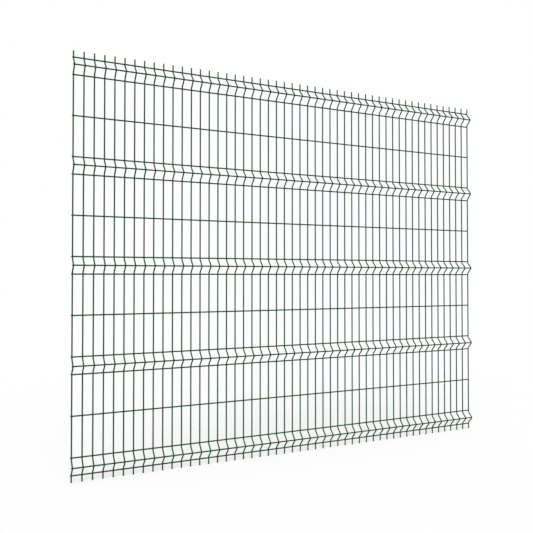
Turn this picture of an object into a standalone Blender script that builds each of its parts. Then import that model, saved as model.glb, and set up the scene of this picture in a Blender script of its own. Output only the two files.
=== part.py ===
"""Welded mesh fence panel with horizontal V folds.

Upright wires run the full height and are bent forward into a V at every fold.
Line wires run the full width behind them: one just over each fold, one just
under it, one inside its apex, and one across each flat field between two folds.
The two outer uprights, which the post clips grip, are pieces of their own.  The
others are made in banks, and the wires of a bank are joined by the line wire
that they are welded to.

Frame: X along the panel from the left outer upright, Y towards the posts,
Z up from the lowest line wire.  The plane y = 0 is the back of the line wires,
which bears on the posts.  Lengths are in metres.
"""

import math

import bmesh
import bpy
from mathutils import Matrix, Vector

# Uprights
PANEL_WIDTH = 2.500         # between the axes of the two outer uprights
MESH_WIDTH = 0.050          # from one upright to the next
UPRIGHT_DIAMETER = 0.006
FREE_END = 0.031            # from the outermost line wire to the cut end

# Line wires
LINE_DIAMETER = 0.006
SIDE_OVERHANG = 0.005       # from the outer upright's axis to the cut end

# Folds and the flat fields between them
FOLD_COUNT = 5
FOLD_HEIGHT = 0.085         # from the line wire over a fold to the one under it
FOLD_MARGIN = 0.0085        # from each of these two line wires in to the bend
FOLD_DEPTH = 0.029          # how far the apex stands in front of the fields
FOLD_NOSE = 0.0065          # height of the flat that stands in for the rounded apex
ROW_HEIGHT = 0.200          # mesh height in a flat field
FIELD_ROWS = 2              # meshes from one fold to the next

# Welds and facets
LAP_GAP = 0.0003            # air left between wires that only touch
WELD_WIDTH = 0.0028
WELD_BITE = 0.0009          # how deep a weld reaches into each wire
WIRE_SIDES = 6
SHARP_ANGLE = math.radians(62.0)    # keeps a wire's sides smooth and its cut ends sharp
BANKS = ("left", "middle", "right")

COAT_COLOUR = (0.0116, 0.0497, 0.0250)


def remove_old_objects():
    for old in list(bpy.data.objects):
        bpy.data.objects.remove(old, do_unlink=True)


def powder_coat():
    """Moss-green polyester powder on galvanised steel wire, half matt."""
    coat = bpy.data.materials.new("green_powder_coat")
    coat.use_nodes = True
    shader = coat.node_tree.nodes["Principled BSDF"]
    shader.inputs["Base Color"].default_value = (*COAT_COLOUR, 1.0)
    shader.inputs["Metallic"].default_value = 0.0
    shader.inputs["Roughness"].default_value = 0.42
    return coat


def corner_radius(diameter):
    """Corner radius of the regular polygon with the area of a round wire."""
    turn = 2.0 * math.pi / WIRE_SIDES
    return 0.5 * diameter * math.sqrt(turn / math.sin(turn))


def flat_radius(diameter):
    """Distance from a wire's axis to its flats."""
    return corner_radius(diameter) * math.cos(math.pi / WIRE_SIDES)


# Where the wires lie: y of each axis
LINE_Y = -flat_radius(LINE_DIAMETER)
UPRIGHT_Y = 2.0 * LINE_Y - LAP_GAP - flat_radius(UPRIGHT_DIAMETER)
APEX_Y = UPRIGHT_Y - FOLD_DEPTH
APEX_LINE_Y = LINE_Y - FOLD_DEPTH

# Whole meshes only, so their width is fitted to the panel's.  Column 0 is the
# left outer upright, and column MESHES_ACROSS the right one.
MESHES_ACROSS = round(PANEL_WIDTH / MESH_WIDTH)
UPRIGHT_PITCH = PANEL_WIDTH / MESHES_ACROSS
FOLD_STEP = FOLD_HEIGHT + FIELD_ROWS * ROW_HEIGHT


def fold_base(fold):
    """Height of the line wire under a fold; fold 1 is the top one."""
    return (FOLD_COUNT - fold) * FOLD_STEP


def upright_path():
    """Bend points (y, z) of an upright from its foot to its head."""
    path = [(UPRIGHT_Y, -FREE_END)]
    for fold in range(FOLD_COUNT, 0, -1):
        base = fold_base(fold)
        apex = base + 0.5 * FOLD_HEIGHT
        path += [
            (UPRIGHT_Y, base + FOLD_MARGIN),
            (APEX_Y, apex - 0.5 * FOLD_NOSE),
            (APEX_Y, apex + 0.5 * FOLD_NOSE),
            (UPRIGHT_Y, base + FOLD_HEIGHT - FOLD_MARGIN),
        ]
    path.append((UPRIGHT_Y, fold_base(1) + FOLD_HEIGHT + FREE_END))
    return path


def sweep_wire(mesh, points, across, diameter):
    """Add a closed wire along points to a bmesh, with mitred bends.

    across is the unit vector square to the plane that the wire bends in.  The
    section is a regular polygon with one corner towards across.
    """
    radius = corner_radius(diameter)
    rings = []
    for index, point in enumerate(points):
        before = (point - points[index - 1]).normalized() if index else None
        after = (points[index + 1] - point).normalized() if index + 1 < len(points) else None
        tangent = ((before or after) + (after or before)).normalized()
        mitre = 1.0 / tangent.dot(after or before)
        side = across.cross(tangent)
        ring = []
        for corner in range(WIRE_SIDES):
            angle = 2.0 * math.pi * corner / WIRE_SIDES
            offset = across * (radius * math.cos(angle)) + side * (radius * mitre * math.sin(angle))
            ring.append(mesh.verts.new(point + offset))
        rings.append(ring)
    for lower, upper in zip(rings, rings[1:]):
        for corner in range(WIRE_SIDES):
            following = (corner + 1) % WIRE_SIDES
            mesh.faces.new((lower[corner], lower[following], upper[following], upper[corner]))
    mesh.faces.new(rings[0][::-1])
    mesh.faces.new(rings[-1])


def mesh_object(name, mesh, material):
    """Turn a bmesh into a named object with smooth sides and sharp cut ends."""
    bmesh.ops.recalc_face_normals(mesh, faces=mesh.faces)
    data = bpy.data.meshes.new(name)
    mesh.to_mesh(data)
    mesh.free()
    data.materials.append(material)
    data.shade_smooth()
    data.set_sharp_from_angle(angle=SHARP_ANGLE)
    piece = bpy.data.objects.new(name, data)
    bpy.context.scene.collection.objects.link(piece)
    return piece


def line_wire(name, y, z, material):
    """A straight line wire across the whole panel."""
    mesh = bmesh.new()
    ends = [Vector((-SIDE_OVERHANG, y, z)), Vector((PANEL_WIDTH + SIDE_OVERHANG, y, z))]
    sweep_wire(mesh, ends, Vector((0.0, 0.0, 1.0)), LINE_DIAMETER)
    return mesh_object(name, mesh, material)


def upright_wires(name, columns, material):
    """Folded uprights at the given columns, still apart from each other."""
    mesh = bmesh.new()
    for column in columns:
        points = [Vector((column * UPRIGHT_PITCH, y, z)) for y, z in upright_path()]
        sweep_wire(mesh, points, Vector((1.0, 0.0, 0.0)), UPRIGHT_DIAMETER)
    return mesh_object(name, mesh, material)


def apex_welds(name, columns, z, material):
    """Small square welds between the apex line wire and the inside of each apex."""
    front = APEX_Y + flat_radius(UPRIGHT_DIAMETER) - WELD_BITE
    back = APEX_LINE_Y - flat_radius(LINE_DIAMETER) + WELD_BITE
    mesh = bmesh.new()
    for column in columns:
        place = Matrix.Translation((column * UPRIGHT_PITCH, 0.5 * (front + back), z))
        size = Matrix.Diagonal((WELD_WIDTH, back - front, WELD_WIDTH, 1.0))
        bmesh.ops.create_cube(mesh, size=1.0, matrix=place @ size)
    return mesh_object(name, mesh, material)


def weld_on(target, tool):
    """Union a helper piece onto target; the helper itself isn't shown."""
    union = target.modifiers.new(tool.name, "BOOLEAN")
    union.operation = "UNION"
    union.object = tool
    tool.hide_render = True
    tool.display_type = "WIRE"
    tool.parent = target


def bank_columns(bank):
    """Columns of one bank: the inner uprights, shared out as equally as they go."""
    inner = MESHES_ACROSS - 1
    first = 1 + round(inner * bank / len(BANKS))
    behind_last = 1 + round(inner * (bank + 1) / len(BANKS))
    return range(first, behind_last)


def carrying_fold(bank):
    """The fold whose apex wire carries a bank, spread from top to bottom."""
    return 1 + round(bank * (FOLD_COUNT - 1) / (len(BANKS) - 1))


def upright_bank(bank, material):
    """A bank of uprights welded to the apex wire of its carrying fold."""
    name = "uprights_" + BANKS[bank]
    z = fold_base(carrying_fold(bank)) + 0.5 * FOLD_HEIGHT
    columns = bank_columns(bank)
    uprights = upright_wires(name, columns, material)
    weld_on(uprights, apex_welds(name + "_welds", columns, z, material))
    weld_on(uprights, line_wire(name + "_apex_wire", APEX_LINE_Y, z, material))
    return uprights


def fold_wires(fold, carried, material):
    """The line wires over, in and under a fold."""
    base = fold_base(fold)
    prefix = f"fold_{fold}_"
    pieces = [
        line_wire(prefix + "upper_wire", LINE_Y, base + FOLD_HEIGHT, material),
        line_wire(prefix + "lower_wire", LINE_Y, base, material),
    ]
    if not carried:
        pieces.append(line_wire(prefix + "apex_wire", APEX_LINE_Y,
                                base + 0.5 * FOLD_HEIGHT, material))
    return pieces


def field_wires(field, material):
    """The line wires across the flat field under the fold of the same number."""
    pieces = []
    for row in range(1, FIELD_ROWS):
        name = f"field_{field}_wire" + ("" if row == 1 else f"_{row}")
        pieces.append(line_wire(name, LINE_Y, fold_base(field) - row * ROW_HEIGHT, material))
    return pieces


def main():
    remove_old_objects()
    coat = powder_coat()
    panel = bpy.data.objects.new("panel", None)
    bpy.context.scene.collection.objects.link(panel)
    pieces = [
        upright_wires("end_upright_left", [0], coat),
        upright_wires("end_upright_right", [MESHES_ACROSS], coat),
    ]
    pieces += [upright_bank(bank, coat) for bank in range(len(BANKS))]
    carriers = {carrying_fold(bank) for bank in range(len(BANKS))}
    for fold in range(1, FOLD_COUNT + 1):
        pieces += fold_wires(fold, fold in carriers, coat)
    for field in range(1, FOLD_COUNT):
        pieces += field_wires(field, coat)
    for piece in pieces:
        piece.parent = panel


main()
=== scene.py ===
import math

import bpy
import numpy as np
from mathutils import Euler, Matrix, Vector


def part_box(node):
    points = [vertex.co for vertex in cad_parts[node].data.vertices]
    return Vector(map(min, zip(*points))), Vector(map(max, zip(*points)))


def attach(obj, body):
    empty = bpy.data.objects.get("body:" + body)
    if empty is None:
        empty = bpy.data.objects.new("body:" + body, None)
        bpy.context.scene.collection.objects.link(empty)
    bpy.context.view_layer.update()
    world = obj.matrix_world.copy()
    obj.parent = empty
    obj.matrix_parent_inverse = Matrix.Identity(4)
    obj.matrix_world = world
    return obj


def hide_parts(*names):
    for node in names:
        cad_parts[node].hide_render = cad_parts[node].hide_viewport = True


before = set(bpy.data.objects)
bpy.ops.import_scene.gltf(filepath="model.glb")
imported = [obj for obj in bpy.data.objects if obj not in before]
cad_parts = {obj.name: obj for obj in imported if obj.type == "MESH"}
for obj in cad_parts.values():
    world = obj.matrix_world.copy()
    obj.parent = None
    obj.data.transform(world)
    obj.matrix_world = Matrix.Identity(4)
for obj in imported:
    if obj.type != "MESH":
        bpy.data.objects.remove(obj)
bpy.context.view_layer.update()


# The two outer uprights
# Round drawn steel wire, 6 mm, galvanised and powder coated moss green.  A press
# brake folds it forward into five V shapes; the ends are cropped and stay free.
# The post clips grip these two, so they are pieces of their own.

FOLD_COUNT = 5
MESHES_ACROSS = 50
WIRE_RADIUS = 0.0036            # zinc and coat included, as wide as the photograph shows it
WIRE_SIDES = 16
HEXAGON_FLAT = math.cos(math.pi / 6.0)      # the solids' hexagons, flat over corner radius
FOLD_MARGIN = 0.0085            # from a fold's edge line wire in to the bend's corner
FOLD_NOSE = 0.0065              # the solid's flat in place of the rounded apex
APEX_BEND_RADIUS = 0.0080       # to the wire's axis
EDGE_BEND_RADIUS = 0.0115
BEND_STEPS = 7                  # straight steps that make up one bend
RUN_OUT = 0.0012                # a ring this far from each bend keeps the long runs straight
WELD_RINGS = (-0.0042, -0.0018, 0.0018, 0.0042)     # along a wire, from a weld's middle
ELECTRODE_DEPTH = 0.00024       # the electrodes press a small flat opposite each weld
ELECTRODE_REACH = 0.0030
# A cut end is rounded: how far in from the cut, and how much narrower the wire is there
CROP_ROUNDING = ((0.00000, 0.00050), (0.00018, 0.00018), (0.00060, 0.0))
CROP_TILT = 0.06                # most that a cut face slopes
SHARP_ANGLE = math.radians(50.0)    # keeps the wires smooth and their cut faces sharp
CHANCE_SEED = 2085

COAT_GREEN_DEEP = (0.0015, 0.0600, 0.0205)
COAT_GREEN_PALE = (0.0030, 0.0860, 0.0315)
TONE_SHARE = 0.9                # of drift and of mottle, in the mix of the two greens
TONE_SHIFT = -0.4               # brings their sum back to the middle
DRIFT_PER_METRE = 2.7
DRIFT_DETAIL = 2.0
MOTTLE_PER_METRE = 90.0
MOTTLE_DETAIL = 3.0
PEEL_PER_METRE = 430.0
PEEL_DETAIL = 1.5
PEEL_HEIGHT = 0.00030
COAT_ROUGHNESS = 0.40
ROUGHER_BY_DRIFT = 0.06
ROUGHER_BY_MOTTLE = 0.10
SPECULAR_LEVEL = 0.10           # low, because the wires show no glints
MIX_FACTOR, MIX_COLOUR_A, MIX_COLOUR_B = 0, 6, 7    # inputs of the Mix node, by number
MIX_COLOUR_RESULT = 2


def middle(node):
    """The middle of a CAD node's box."""
    low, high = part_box(node)
    return (low + high) / 2.0


chance = np.random.default_rng(CHANCE_SEED)

clip_low, clip_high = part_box("end_upright_left")
LEFT_X = middle("end_upright_left").x
RIGHT_X = middle("end_upright_right").x
COLUMN_X = np.linspace(LEFT_X, RIGHT_X, MESHES_ACROSS + 1)
FOOT_Z, HEAD_Z = clip_low.z, clip_high.z

hexagon_flat = HEXAGON_FLAT * (clip_high.x - clip_low.x) / 2.0
UPRIGHT_Y = clip_high.y - hexagon_flat
FOLDS = range(1, FOLD_COUNT + 1)
FIELDS = range(1, FOLD_COUNT)
fold_top = {fold: middle(f"fold_{fold}_upper_wire").z for fold in FOLDS}
fold_foot = {fold: middle(f"fold_{fold}_lower_wire").z for fold in FOLDS}
half_fold = (fold_top[1] - fold_foot[1]) / 2.0

# The legs run on past the flat nose to a corner, and the rounded apex, which is
# as deep as the nose, lies inside that corner.
NOSE_Y = clip_low.y + hexagon_flat
leg_rise = (UPRIGHT_Y - NOSE_Y) / (half_fold - FOLD_MARGIN - FOLD_NOSE / 2.0)
APEX_Y = NOSE_Y - APEX_BEND_RADIUS * (math.hypot(1.0, leg_rise) - 1.0)
corner_level = (UPRIGHT_Y - APEX_Y) / leg_rise

apex_levels = np.array([fold_top[fold] - half_fold for fold in FOLDS])
flat_levels = np.array(
    [fold_top[fold] for fold in FOLDS]
    + [fold_foot[fold] for fold in FOLDS]
    + [middle(f"field_{field}_wire").z for field in FIELDS]
)
weld_levels = np.concatenate([apex_levels, flat_levels])


def upright_axis():
    """Axis points and tangents of a folded upright, from foot to head, as (y, z).

    Straight runs join the folds' corner points.  Each corner gives way to an arc
    that touches both runs: it starts at radius x tan(turn / 2) before the corner,
    and a point on it is start + radius x (sin(a) x run + (1 - cos(a)) x inward),
    with a going from 0 to the turn.  Everything lies in the y-z plane.
    """
    corners, radii = [(UPRIGHT_Y, FOOT_Z)], []
    for fold in reversed(FOLDS):
        apex = fold_foot[fold] + half_fold
        corners += [
            (UPRIGHT_Y, apex - corner_level),
            (APEX_Y, apex),
            (UPRIGHT_Y, apex + corner_level),
        ]
        radii += [EDGE_BEND_RADIUS, APEX_BEND_RADIUS, EDGE_BEND_RADIUS]
    corners.append((UPRIGHT_Y, HEAD_Z))
    corners, radii = np.array(corners), np.array(radii)[:, None, None]

    runs = np.diff(corners, axis=0)
    runs /= np.linalg.norm(runs, axis=1, keepdims=True)
    before, after = runs[:-1, None], runs[1:, None]
    cross = before[..., 0] * after[..., 1] - before[..., 1] * after[..., 0]
    turn = np.arctan2(cross, (before * after).sum(axis=-1))[..., None]
    inward = np.sign(turn) * np.stack([-before[..., 1], before[..., 0]], axis=-1)
    start = corners[1:-1, None] - radii * np.tan(np.abs(turn) / 2.0) * before
    end = corners[1:-1, None] + radii * np.tan(np.abs(turn) / 2.0) * after
    angle = np.linspace(0.0, 1.0, BEND_STEPS + 1)[None, :, None] * np.abs(turn)
    arc = start + radii * (np.sin(angle) * before + (1.0 - np.cos(angle)) * inward)
    heading = np.cos(angle) * before + np.sin(angle) * inward

    # The rings beside the welds stand on the straight runs only, clear of the bends.
    passing = (flat_levels[:, None] + np.array(WELD_RINGS)).ravel()
    fold_reach = half_fold - np.abs(end[-1, 0, 1] - fold_top[1]) + RUN_OUT
    clear = np.abs(passing[:, None] - apex_levels).min(axis=1) > fold_reach
    passing = passing[clear]
    passing = np.stack([np.full_like(passing, UPRIGHT_Y), passing], axis=-1)
    upwards = np.array([0.0, 1.0])
    points = np.concatenate([
        (start - RUN_OUT * before).reshape(-1, 2),
        arc.reshape(-1, 2),
        (end + RUN_OUT * after).reshape(-1, 2),
        passing,
    ])
    tangents = np.concatenate([
        before.reshape(-1, 2),
        heading.reshape(-1, 2),
        after.reshape(-1, 2),
        np.broadcast_to(upwards, passing.shape),
    ])
    order = np.argsort(points[:, 1])
    return points[order], tangents[order]


AXIS_POINTS, AXIS_TANGENTS = upright_axis()


def cropped_ends(points, tangents, low, high):
    """Adds the rings of both cut ends to an axis, with how much narrower each is."""
    inset = np.array([step for step, _ in CROP_ROUNDING])
    narrower = np.array([loss for _, loss in CROP_ROUNDING])
    points = np.concatenate([
        low + inset[:, None] * tangents[0],
        points,
        high - inset[::-1, None] * tangents[-1],
    ])
    tangents = np.concatenate([
        np.repeat(tangents[:1], len(inset), axis=0),
        tangents,
        np.repeat(tangents[-1:], len(inset), axis=0),
    ])
    loss = np.zeros(len(points))
    loss[:len(inset)] = narrower
    loss[-len(inset):] = narrower[::-1]
    return points, tangents, loss


def electrode_press(along, welds):
    """Depth of the electrodes' flats at distances along a wire.

    It is depth x (1 - (distance from the nearest weld / reach)^2), and never
    less than 0.
    """
    nearest = np.abs(along[:, None] - np.asarray(welds)).min(axis=1)
    return ELECTRODE_DEPTH * np.clip(1.0 - (nearest / ELECTRODE_REACH) ** 2, 0.0, 1.0)


def wire_rings(axis, tangent, across, away, loss, press):
    """Rings of points round one wire, as an array of rings x sides x 3.

    A point is axis + radius x (cos(a) x across + sin(a) x away).  The electrode's
    flat holds the share along away above -(radius - press), and the crop turns the
    rings at each end a little out of square.
    """
    angle = np.arange(WIRE_SIDES) * (2.0 * math.pi / WIRE_SIDES)
    radius = (WIRE_RADIUS - loss)[:, None]
    sideways = radius * np.cos(angle)
    outwards = np.maximum(radius * np.sin(angle), press[:, None] - WIRE_RADIUS)
    rings = (axis[:, None] + sideways[..., None] * across[:, None]
             + outwards[..., None] * away[:, None])
    count = len(CROP_ROUNDING)
    for ends in (slice(0, count), slice(-count, None)):
        tilt, turn = CROP_TILT * chance.uniform(-1.0, 1.0), chance.uniform(0.0, 2.0 * math.pi)
        slip = tilt * WIRE_RADIUS * np.cos(angle - turn)
        rings[ends] += slip[:, None] * tangent[ends][:, None]
    return rings


def wire_piece(name, wires, material):
    """A mesh of closed wires from an array of wires x rings x sides x 3.

    Neighbouring rings are joined by quads, and a many-sided face closes each end.
    """
    wires = np.asarray(wires)
    count, rings, sides = wires.shape[:3]
    index = np.arange(count * rings * sides).reshape(count, rings, sides)
    following = np.roll(index, -1, axis=2)
    quads = np.stack(
        [index[:, :-1], following[:, :-1], following[:, 1:], index[:, 1:]], axis=-1
    ).reshape(-1, 4)
    caps = np.concatenate([index[:, 0, ::-1], index[:, -1]])
    mesh = bpy.data.meshes.new(name)
    mesh.from_pydata(wires.reshape(-1, 3).tolist(), [], quads.tolist() + caps.tolist())
    mesh.shade_smooth()
    mesh.set_sharp_from_angle(angle=SHARP_ANGLE)
    mesh.materials.append(material)
    piece = bpy.data.objects.new(name, mesh)
    bpy.context.scene.collection.objects.link(piece)
    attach(piece, "root")
    return piece


def upright_rings(x):
    """Rings of one folded upright at x; its electrode flats face the front."""
    foot, head = np.array([UPRIGHT_Y, FOOT_Z]), np.array([UPRIGHT_Y, HEAD_Z])
    points, tangents, loss = cropped_ends(AXIS_POINTS, AXIS_TANGENTS, foot, head)
    flat = np.zeros(len(points))
    axis = np.stack([flat + x, points[:, 0], points[:, 1]], axis=-1)
    tangent = np.stack([flat, tangents[:, 0], tangents[:, 1]], axis=-1)
    across = np.stack([flat + 1.0, flat, flat], axis=-1)
    away = np.stack([flat, tangents[:, 1], -tangents[:, 0]], axis=-1)
    return wire_rings(axis, tangent, across, away, loss,
                      electrode_press(points[:, 1], weld_levels))


class Value:
    """A shader socket for use in sums; each operation adds its Math node."""

    def __init__(self, shader, socket):
        self.shader, self.socket = shader, socket

    def __add__(self, other):
        return self.shader.node("ShaderNodeMath", {"operation": "ADD"}, {0: self, 1: other})

    __radd__ = __add__

    def __mul__(self, other):
        return self.shader.node("ShaderNodeMath", {"operation": "MULTIPLY"}, {0: self, 1: other})

    __rmul__ = __mul__


class Shader:
    """The node tree of a material or a world."""

    def __init__(self, owner):
        owner.use_nodes = True
        self.tree = owner.node_tree
        self.tree.nodes.clear()

    def node(self, kind, settings, inputs, output=0):
        """Adds a node with its settings, then its inputs' values or links; returns an output."""
        made = self.tree.nodes.new(kind)
        for name, setting in settings.items():
            setattr(made, name, setting)
        for name, value in inputs.items():
            if isinstance(value, Value):
                self.tree.links.new(value.socket, made.inputs[name])
            else:
                made.inputs[name].default_value = value
        return Value(self, made.outputs[output]) if made.outputs else None


def powder_coat():
    """Half-matt polyester powder: tone and gloss drift, and a fine noise is the orange peel."""
    material = bpy.data.materials.new("green_powder_coat")
    shader = Shader(material)
    place = shader.node("ShaderNodeTexCoord", {}, {}, "Object")
    drift = shader.node("ShaderNodeTexNoise", {}, {
        "Vector": place, "Scale": DRIFT_PER_METRE, "Detail": DRIFT_DETAIL})
    mottle = shader.node("ShaderNodeTexNoise", {}, {
        "Vector": place, "Scale": MOTTLE_PER_METRE, "Detail": MOTTLE_DETAIL})
    peel = shader.node("ShaderNodeTexNoise", {}, {
        "Vector": place, "Scale": PEEL_PER_METRE, "Detail": PEEL_DETAIL})
    green = shader.node("ShaderNodeMix", {"data_type": "RGBA"}, {
        MIX_FACTOR: TONE_SHARE * drift + TONE_SHARE * mottle + TONE_SHIFT,
        MIX_COLOUR_A: (*COAT_GREEN_DEEP, 1.0),
        MIX_COLOUR_B: (*COAT_GREEN_PALE, 1.0)}, MIX_COLOUR_RESULT)
    relief = shader.node("ShaderNodeBump", {}, {
        "Strength": 1.0, "Distance": PEEL_HEIGHT, "Height": peel})
    coat = shader.node("ShaderNodeBsdfPrincipled", {}, {
        "Base Color": green,
        "Roughness": ROUGHER_BY_MOTTLE * mottle + ROUGHER_BY_DRIFT * drift + COAT_ROUGHNESS,
        "Specular IOR Level": SPECULAR_LEVEL,
        "Normal": relief})
    shader.node("ShaderNodeOutputMaterial", {}, {"Surface": coat})
    return material


coat = powder_coat()
for side, x in (("left", LEFT_X), ("right", RIGHT_X)):
    upright = wire_piece(f"clip_upright_{side}", [upright_rings(x)], coat)
    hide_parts(f"end_upright_{side}")


# The inner uprights
# The same folded 6 mm wires, 49 of them, one every 50 mm.  They come in three
# pieces, one for each bank of uprights in the frame, which they replace.

BANKS = ("left", "middle", "right")
INNER_COLUMNS = np.arange(1, MESHES_ACROSS)
bank_edges = [round(len(INNER_COLUMNS) * bank / len(BANKS)) for bank in range(len(BANKS) + 1)]

for bank, first, behind_last in zip(BANKS, bank_edges, bank_edges[1:]):
    columns = INNER_COLUMNS[first:behind_last]
    uprights = wire_piece(
        f"folded_uprights_{bank}", [upright_rings(COLUMN_X[column]) for column in columns], coat)
    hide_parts(f"uprights_{bank}")


# The line wires
# Straight 6 mm wires behind the uprights, three to a fold: one at each edge and
# one inside the apex.  Each flat field has one more across its middle.  Their
# ends are cropped just past the outer uprights.

line_low, line_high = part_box("fold_1_upper_wire")
LINE_START, LINE_STOP = line_low.x, line_high.x
LINE_Y = middle("fold_1_upper_wire").y
APEX_LINE_Y = middle("fold_2_apex_wire").y
END_CLEAR = 0.0012              # a weld's rings stay this far from a cut end
CARRYING_FOLDS = {1: "left", 3: "middle", 5: "right"}   # whose apex wire is in a bank's node


def line_rings(y, z):
    """Rings of one straight line wire; its electrode flats face the back."""
    along = (COLUMN_X[:, None] + np.array(WELD_RINGS)).ravel()
    along = along[(along > LINE_START + END_CLEAR) & (along < LINE_STOP - END_CLEAR)]
    points, tangents, loss = cropped_ends(
        along[:, None], np.ones((len(along), 1)), np.array([LINE_START]), np.array([LINE_STOP]))
    flat = np.zeros(len(points))
    axis = np.stack([points[:, 0], flat + y, flat + z], axis=-1)
    tangent = np.stack([flat + 1.0, flat, flat], axis=-1)
    across = np.stack([flat, flat, flat + 1.0], axis=-1)
    away = np.stack([flat, flat - 1.0, flat], axis=-1)
    return wire_rings(axis, tangent, across, away, loss,
                      electrode_press(points[:, 0], COLUMN_X))


for fold in FOLDS:
    for place, y, z in (
        ("upper", LINE_Y, fold_top[fold]),
        ("apex", APEX_LINE_Y, fold_top[fold] - half_fold),
        ("lower", LINE_Y, fold_foot[fold]),
    ):
        line = wire_piece(f"fold_{fold}_{place}_line", [line_rings(y, z)], coat)
        if place == "apex" and fold in CARRYING_FOLDS:
            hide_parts(f"uprights_{CARRYING_FOLDS[fold]}")
        else:
            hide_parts(f"fold_{fold}_{place}_wire")

for field in FIELDS:
    height = middle(f"field_{field}_wire").z
    line = wire_piece(f"field_{field}_line", [line_rings(LINE_Y, height)], coat)
    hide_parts(f"field_{field}_wire")


# The welds
# Resistance welds, one where each upright crosses each line wire, 969 in all.
# Steel pressed out of the joint and powder drawn into the corner leave a small
# hollow collar between the two wires.

WELD_SIDES = 12
COLLAR_RINGS = 4
WELD_STEPS = np.linspace(0.0, 1.0, COLLAR_RINGS)
COLLAR_RADIUS = 0.00305
COLLAR_HOLLOW = 0.06            # share that it is narrower at its waist
COLLAR_BURIED = 0.00016         # how far it reaches into each wire
COLLAR_SPREAD = 0.05            # share that sizes differ from weld to weld
AXIS_REACH = 0.0062             # of the upright's axis, up and down from a weld
AXIS_SAMPLE_COUNT = 125
AXIS_SAMPLES = np.linspace(-AXIS_REACH, AXIS_REACH, AXIS_SAMPLE_COUNT)
NO_SURFACE_Y = -1.0             # far in front of the panel


def upright_back(x, z, level):
    """How far back the upright's surface reaches at x and z beside its axis.

    A wire is the room that a ball of its radius sweeps along the axis, so this is
    the largest of axis y + square root of (radius^2 - x^2 - (z - axis z)^2).
    """
    axis_z = level + AXIS_SAMPLES
    axis_y = np.interp(axis_z, AXIS_POINTS[:, 1], AXIS_POINTS[:, 0])
    left_over = WIRE_RADIUS ** 2 - x[..., None] ** 2 - (z[..., None] - axis_z) ** 2
    reach = np.where(left_over > 0.0, axis_y + np.sqrt(np.maximum(left_over, 0.0)), NO_SURFACE_Y)
    return reach.max(axis=-1)


def weld_collars(line_y, level):
    """Collars along one line wire, as an array of collars x rings x sides x 3.

    A ring's radius is collar radius x (1 - hollow x sin(pi t)) as t goes from the
    upright, 0, to the line wire, 1, and it swells and shrinks twice on its way round.
    Its y goes evenly from the upright's surface to the line wire's.
    """
    t = WELD_STEPS[None, :, None]
    angle = -np.arange(WELD_SIDES)[None, None, :] * (2.0 * math.pi / WELD_SIDES)
    count = len(COLUMN_X)
    size = 1.0 + COLLAR_SPREAD * chance.uniform(-1.0, 1.0, (count, 1, 1))
    swell = COLLAR_SPREAD * chance.uniform(0.0, 1.0, (count, 1, 1))
    phase = chance.uniform(0.0, 2.0 * math.pi, (count, 1, 1))
    radius = COLLAR_RADIUS * size * (1.0 + swell * np.cos(2.0 * angle + phase))
    radius = radius * (1.0 - COLLAR_HOLLOW * np.sin(math.pi * t))
    x = radius * np.cos(angle)
    z = level + radius * np.sin(angle)
    near = upright_back(x, z, level) - COLLAR_BURIED
    far = line_y - np.sqrt(WIRE_RADIUS ** 2 - (z - level) ** 2) + COLLAR_BURIED
    y = (1.0 - t) * near + t * far
    return np.stack([COLUMN_X[:, None, None] + x, y, z], axis=-1)


for fold in FOLDS:
    collars = np.concatenate([
        weld_collars(LINE_Y, fold_top[fold]),
        weld_collars(APEX_LINE_Y, fold_top[fold] - half_fold),
        weld_collars(LINE_Y, fold_foot[fold]),
    ])
    wire_piece(f"fold_{fold}_welds", collars, coat)

for field in FIELDS:
    wire_piece(f"field_{field}_welds",
               weld_collars(LINE_Y, middle(f"field_{field}_wire").z), coat)


# The floor and the backdrop
# A plain white studio floor, just under the wire ends, under a white sky.  Both
# look white from the camera and in gloss, and the floor keeps the panel's shadow.

FLOOR_DROP = 0.0006             # from the wires' feet
FLOOR_HALF = 40.0               # half the length of its sides
FLOOR_BOUNCE = (0.12, 0.12, 0.12, 1.0)      # so that little light comes up from it
FLOOR_WHITE = (0.95, 0.95, 0.95, 1.0)
FLOOR_GLOW_SHARE = 0.55         # of its look that is plain white and takes no shadow
SKY_LIGHT = 0.38                # on the panel; the sky itself looks 1, white
WHITE = (1.0, 1.0, 1.0, 1.0)

floor_z = FOOT_Z - FLOOR_DROP
floor_mesh = bpy.data.meshes.new("studio_floor")
floor_mesh.from_pydata(
    [(-FLOOR_HALF, -FLOOR_HALF, floor_z), (FLOOR_HALF, -FLOOR_HALF, floor_z),
     (FLOOR_HALF, FLOOR_HALF, floor_z), (-FLOOR_HALF, FLOOR_HALF, floor_z)],
    [], [(0, 1, 2, 3)])
floor = bpy.data.objects.new("studio_floor", floor_mesh)
bpy.context.scene.collection.objects.link(floor)


def seen_directly(shader):
    """1 for camera, glossy and transmission rays, 0 for the others."""
    rays = [shader.node("ShaderNodeLightPath", {}, {}, f"Is {kind} Ray")
            for kind in ("Camera", "Glossy", "Transmission")]
    return shader.node("ShaderNodeMath", {"operation": "ADD", "use_clamp": True},
                       {0: rays[0] + rays[1], 1: rays[2]})


floor_material = bpy.data.materials.new("studio_floor")
shader = Shader(floor_material)
bounce = shader.node("ShaderNodeBsdfDiffuse", {}, {"Color": FLOOR_BOUNCE})
lit = shader.node("ShaderNodeBsdfDiffuse", {}, {"Color": FLOOR_WHITE})
glow = shader.node("ShaderNodeEmission", {}, {"Color": WHITE, "Strength": 1.0})
shown = shader.node("ShaderNodeMixShader", {}, {0: FLOOR_GLOW_SHARE, 1: lit, 2: glow})
surface = shader.node("ShaderNodeMixShader", {}, {0: seen_directly(shader), 1: bounce, 2: shown})
shader.node("ShaderNodeOutputMaterial", {}, {"Surface": surface})
floor_mesh.materials.append(floor_material)

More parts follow.
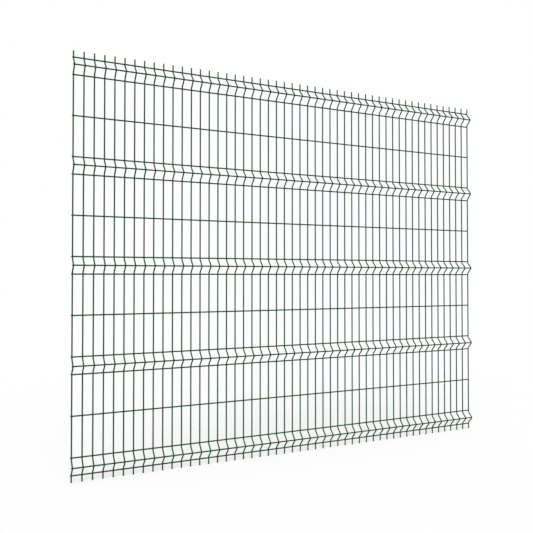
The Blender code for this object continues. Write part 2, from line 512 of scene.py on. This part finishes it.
sky = bpy.data.worlds.new("studio_sky")
bpy.context.scene.world = sky
shader = Shader(sky)
strength = shader.node("ShaderNodeMath", {"operation": "MULTIPLY_ADD"},
                       {0: seen_directly(shader), 1: 1.0 - SKY_LIGHT, 2: SKY_LIGHT})
background = shader.node("ShaderNodeBackground", {}, {"Color": WHITE, "Strength": strength})
shader.node("ShaderNodeOutputWorld", {}, {"Surface": background})


# The studio light
# One broad soft light from the front, on the camera's side and high up, so the
# upper leg of each fold is the brightest and the lower leg the darkest.

KEY_STRENGTH = 3.0
KEY_WIDTH = math.radians(55.0)  # how wide it looks from the panel
KEY_TILT = math.radians(45.0)   # from straight down
KEY_TURN = math.radians(-22.0)  # from square on, towards the left

key = bpy.data.lights.new("key_light", "SUN")
key.energy = KEY_STRENGTH
key.angle = KEY_WIDTH
key_lamp = bpy.data.objects.new("key_light", key)
key_lamp.rotation_euler = Euler((KEY_TILT, 0.0, KEY_TURN))
bpy.context.scene.collection.objects.link(key_lamp)


# The camera
# About level with the middle of the panel, to the left of it and turned in
# towards it, as the photograph was taken.

EYE = (-0.5551, -3.3255, 0.9564)
FOCAL_PIXELS = 663.80
IMAGE_PIXELS = 533.0
CENTRE_RIGHT_PIXELS = 19.00     # where the lens's axis meets the picture, from its middle
CENTRE_UP_PIXELS = 1.96
YAW = math.radians(27.302)
PITCH = math.radians(1.057)
ROLL = math.radians(-0.026)
SENSOR_WIDTH = 36.0             # millimetres
CLIP_START, CLIP_END = 0.05, 200.0

lens = bpy.data.cameras.new("camera")
lens.sensor_fit = "HORIZONTAL"
lens.sensor_width = SENSOR_WIDTH
lens.lens = SENSOR_WIDTH * FOCAL_PIXELS / IMAGE_PIXELS
lens.shift_x = -CENTRE_RIGHT_PIXELS / IMAGE_PIXELS
lens.shift_y = -CENTRE_UP_PIXELS / IMAGE_PIXELS
lens.clip_start, lens.clip_end = CLIP_START, CLIP_END
camera = bpy.data.objects.new("camera", lens)
facing = Euler((math.pi / 2.0 + PITCH, 0.0, -YAW)).to_matrix() @ Matrix.Rotation(ROLL, 3, "Z")
camera.matrix_world = Matrix.Translation(EYE) @ facing.to_4x4()
bpy.context.scene.collection.objects.link(camera)
bpy.context.scene.camera = camera

bpy.context.scene.view_settings.view_transform = "Standard"
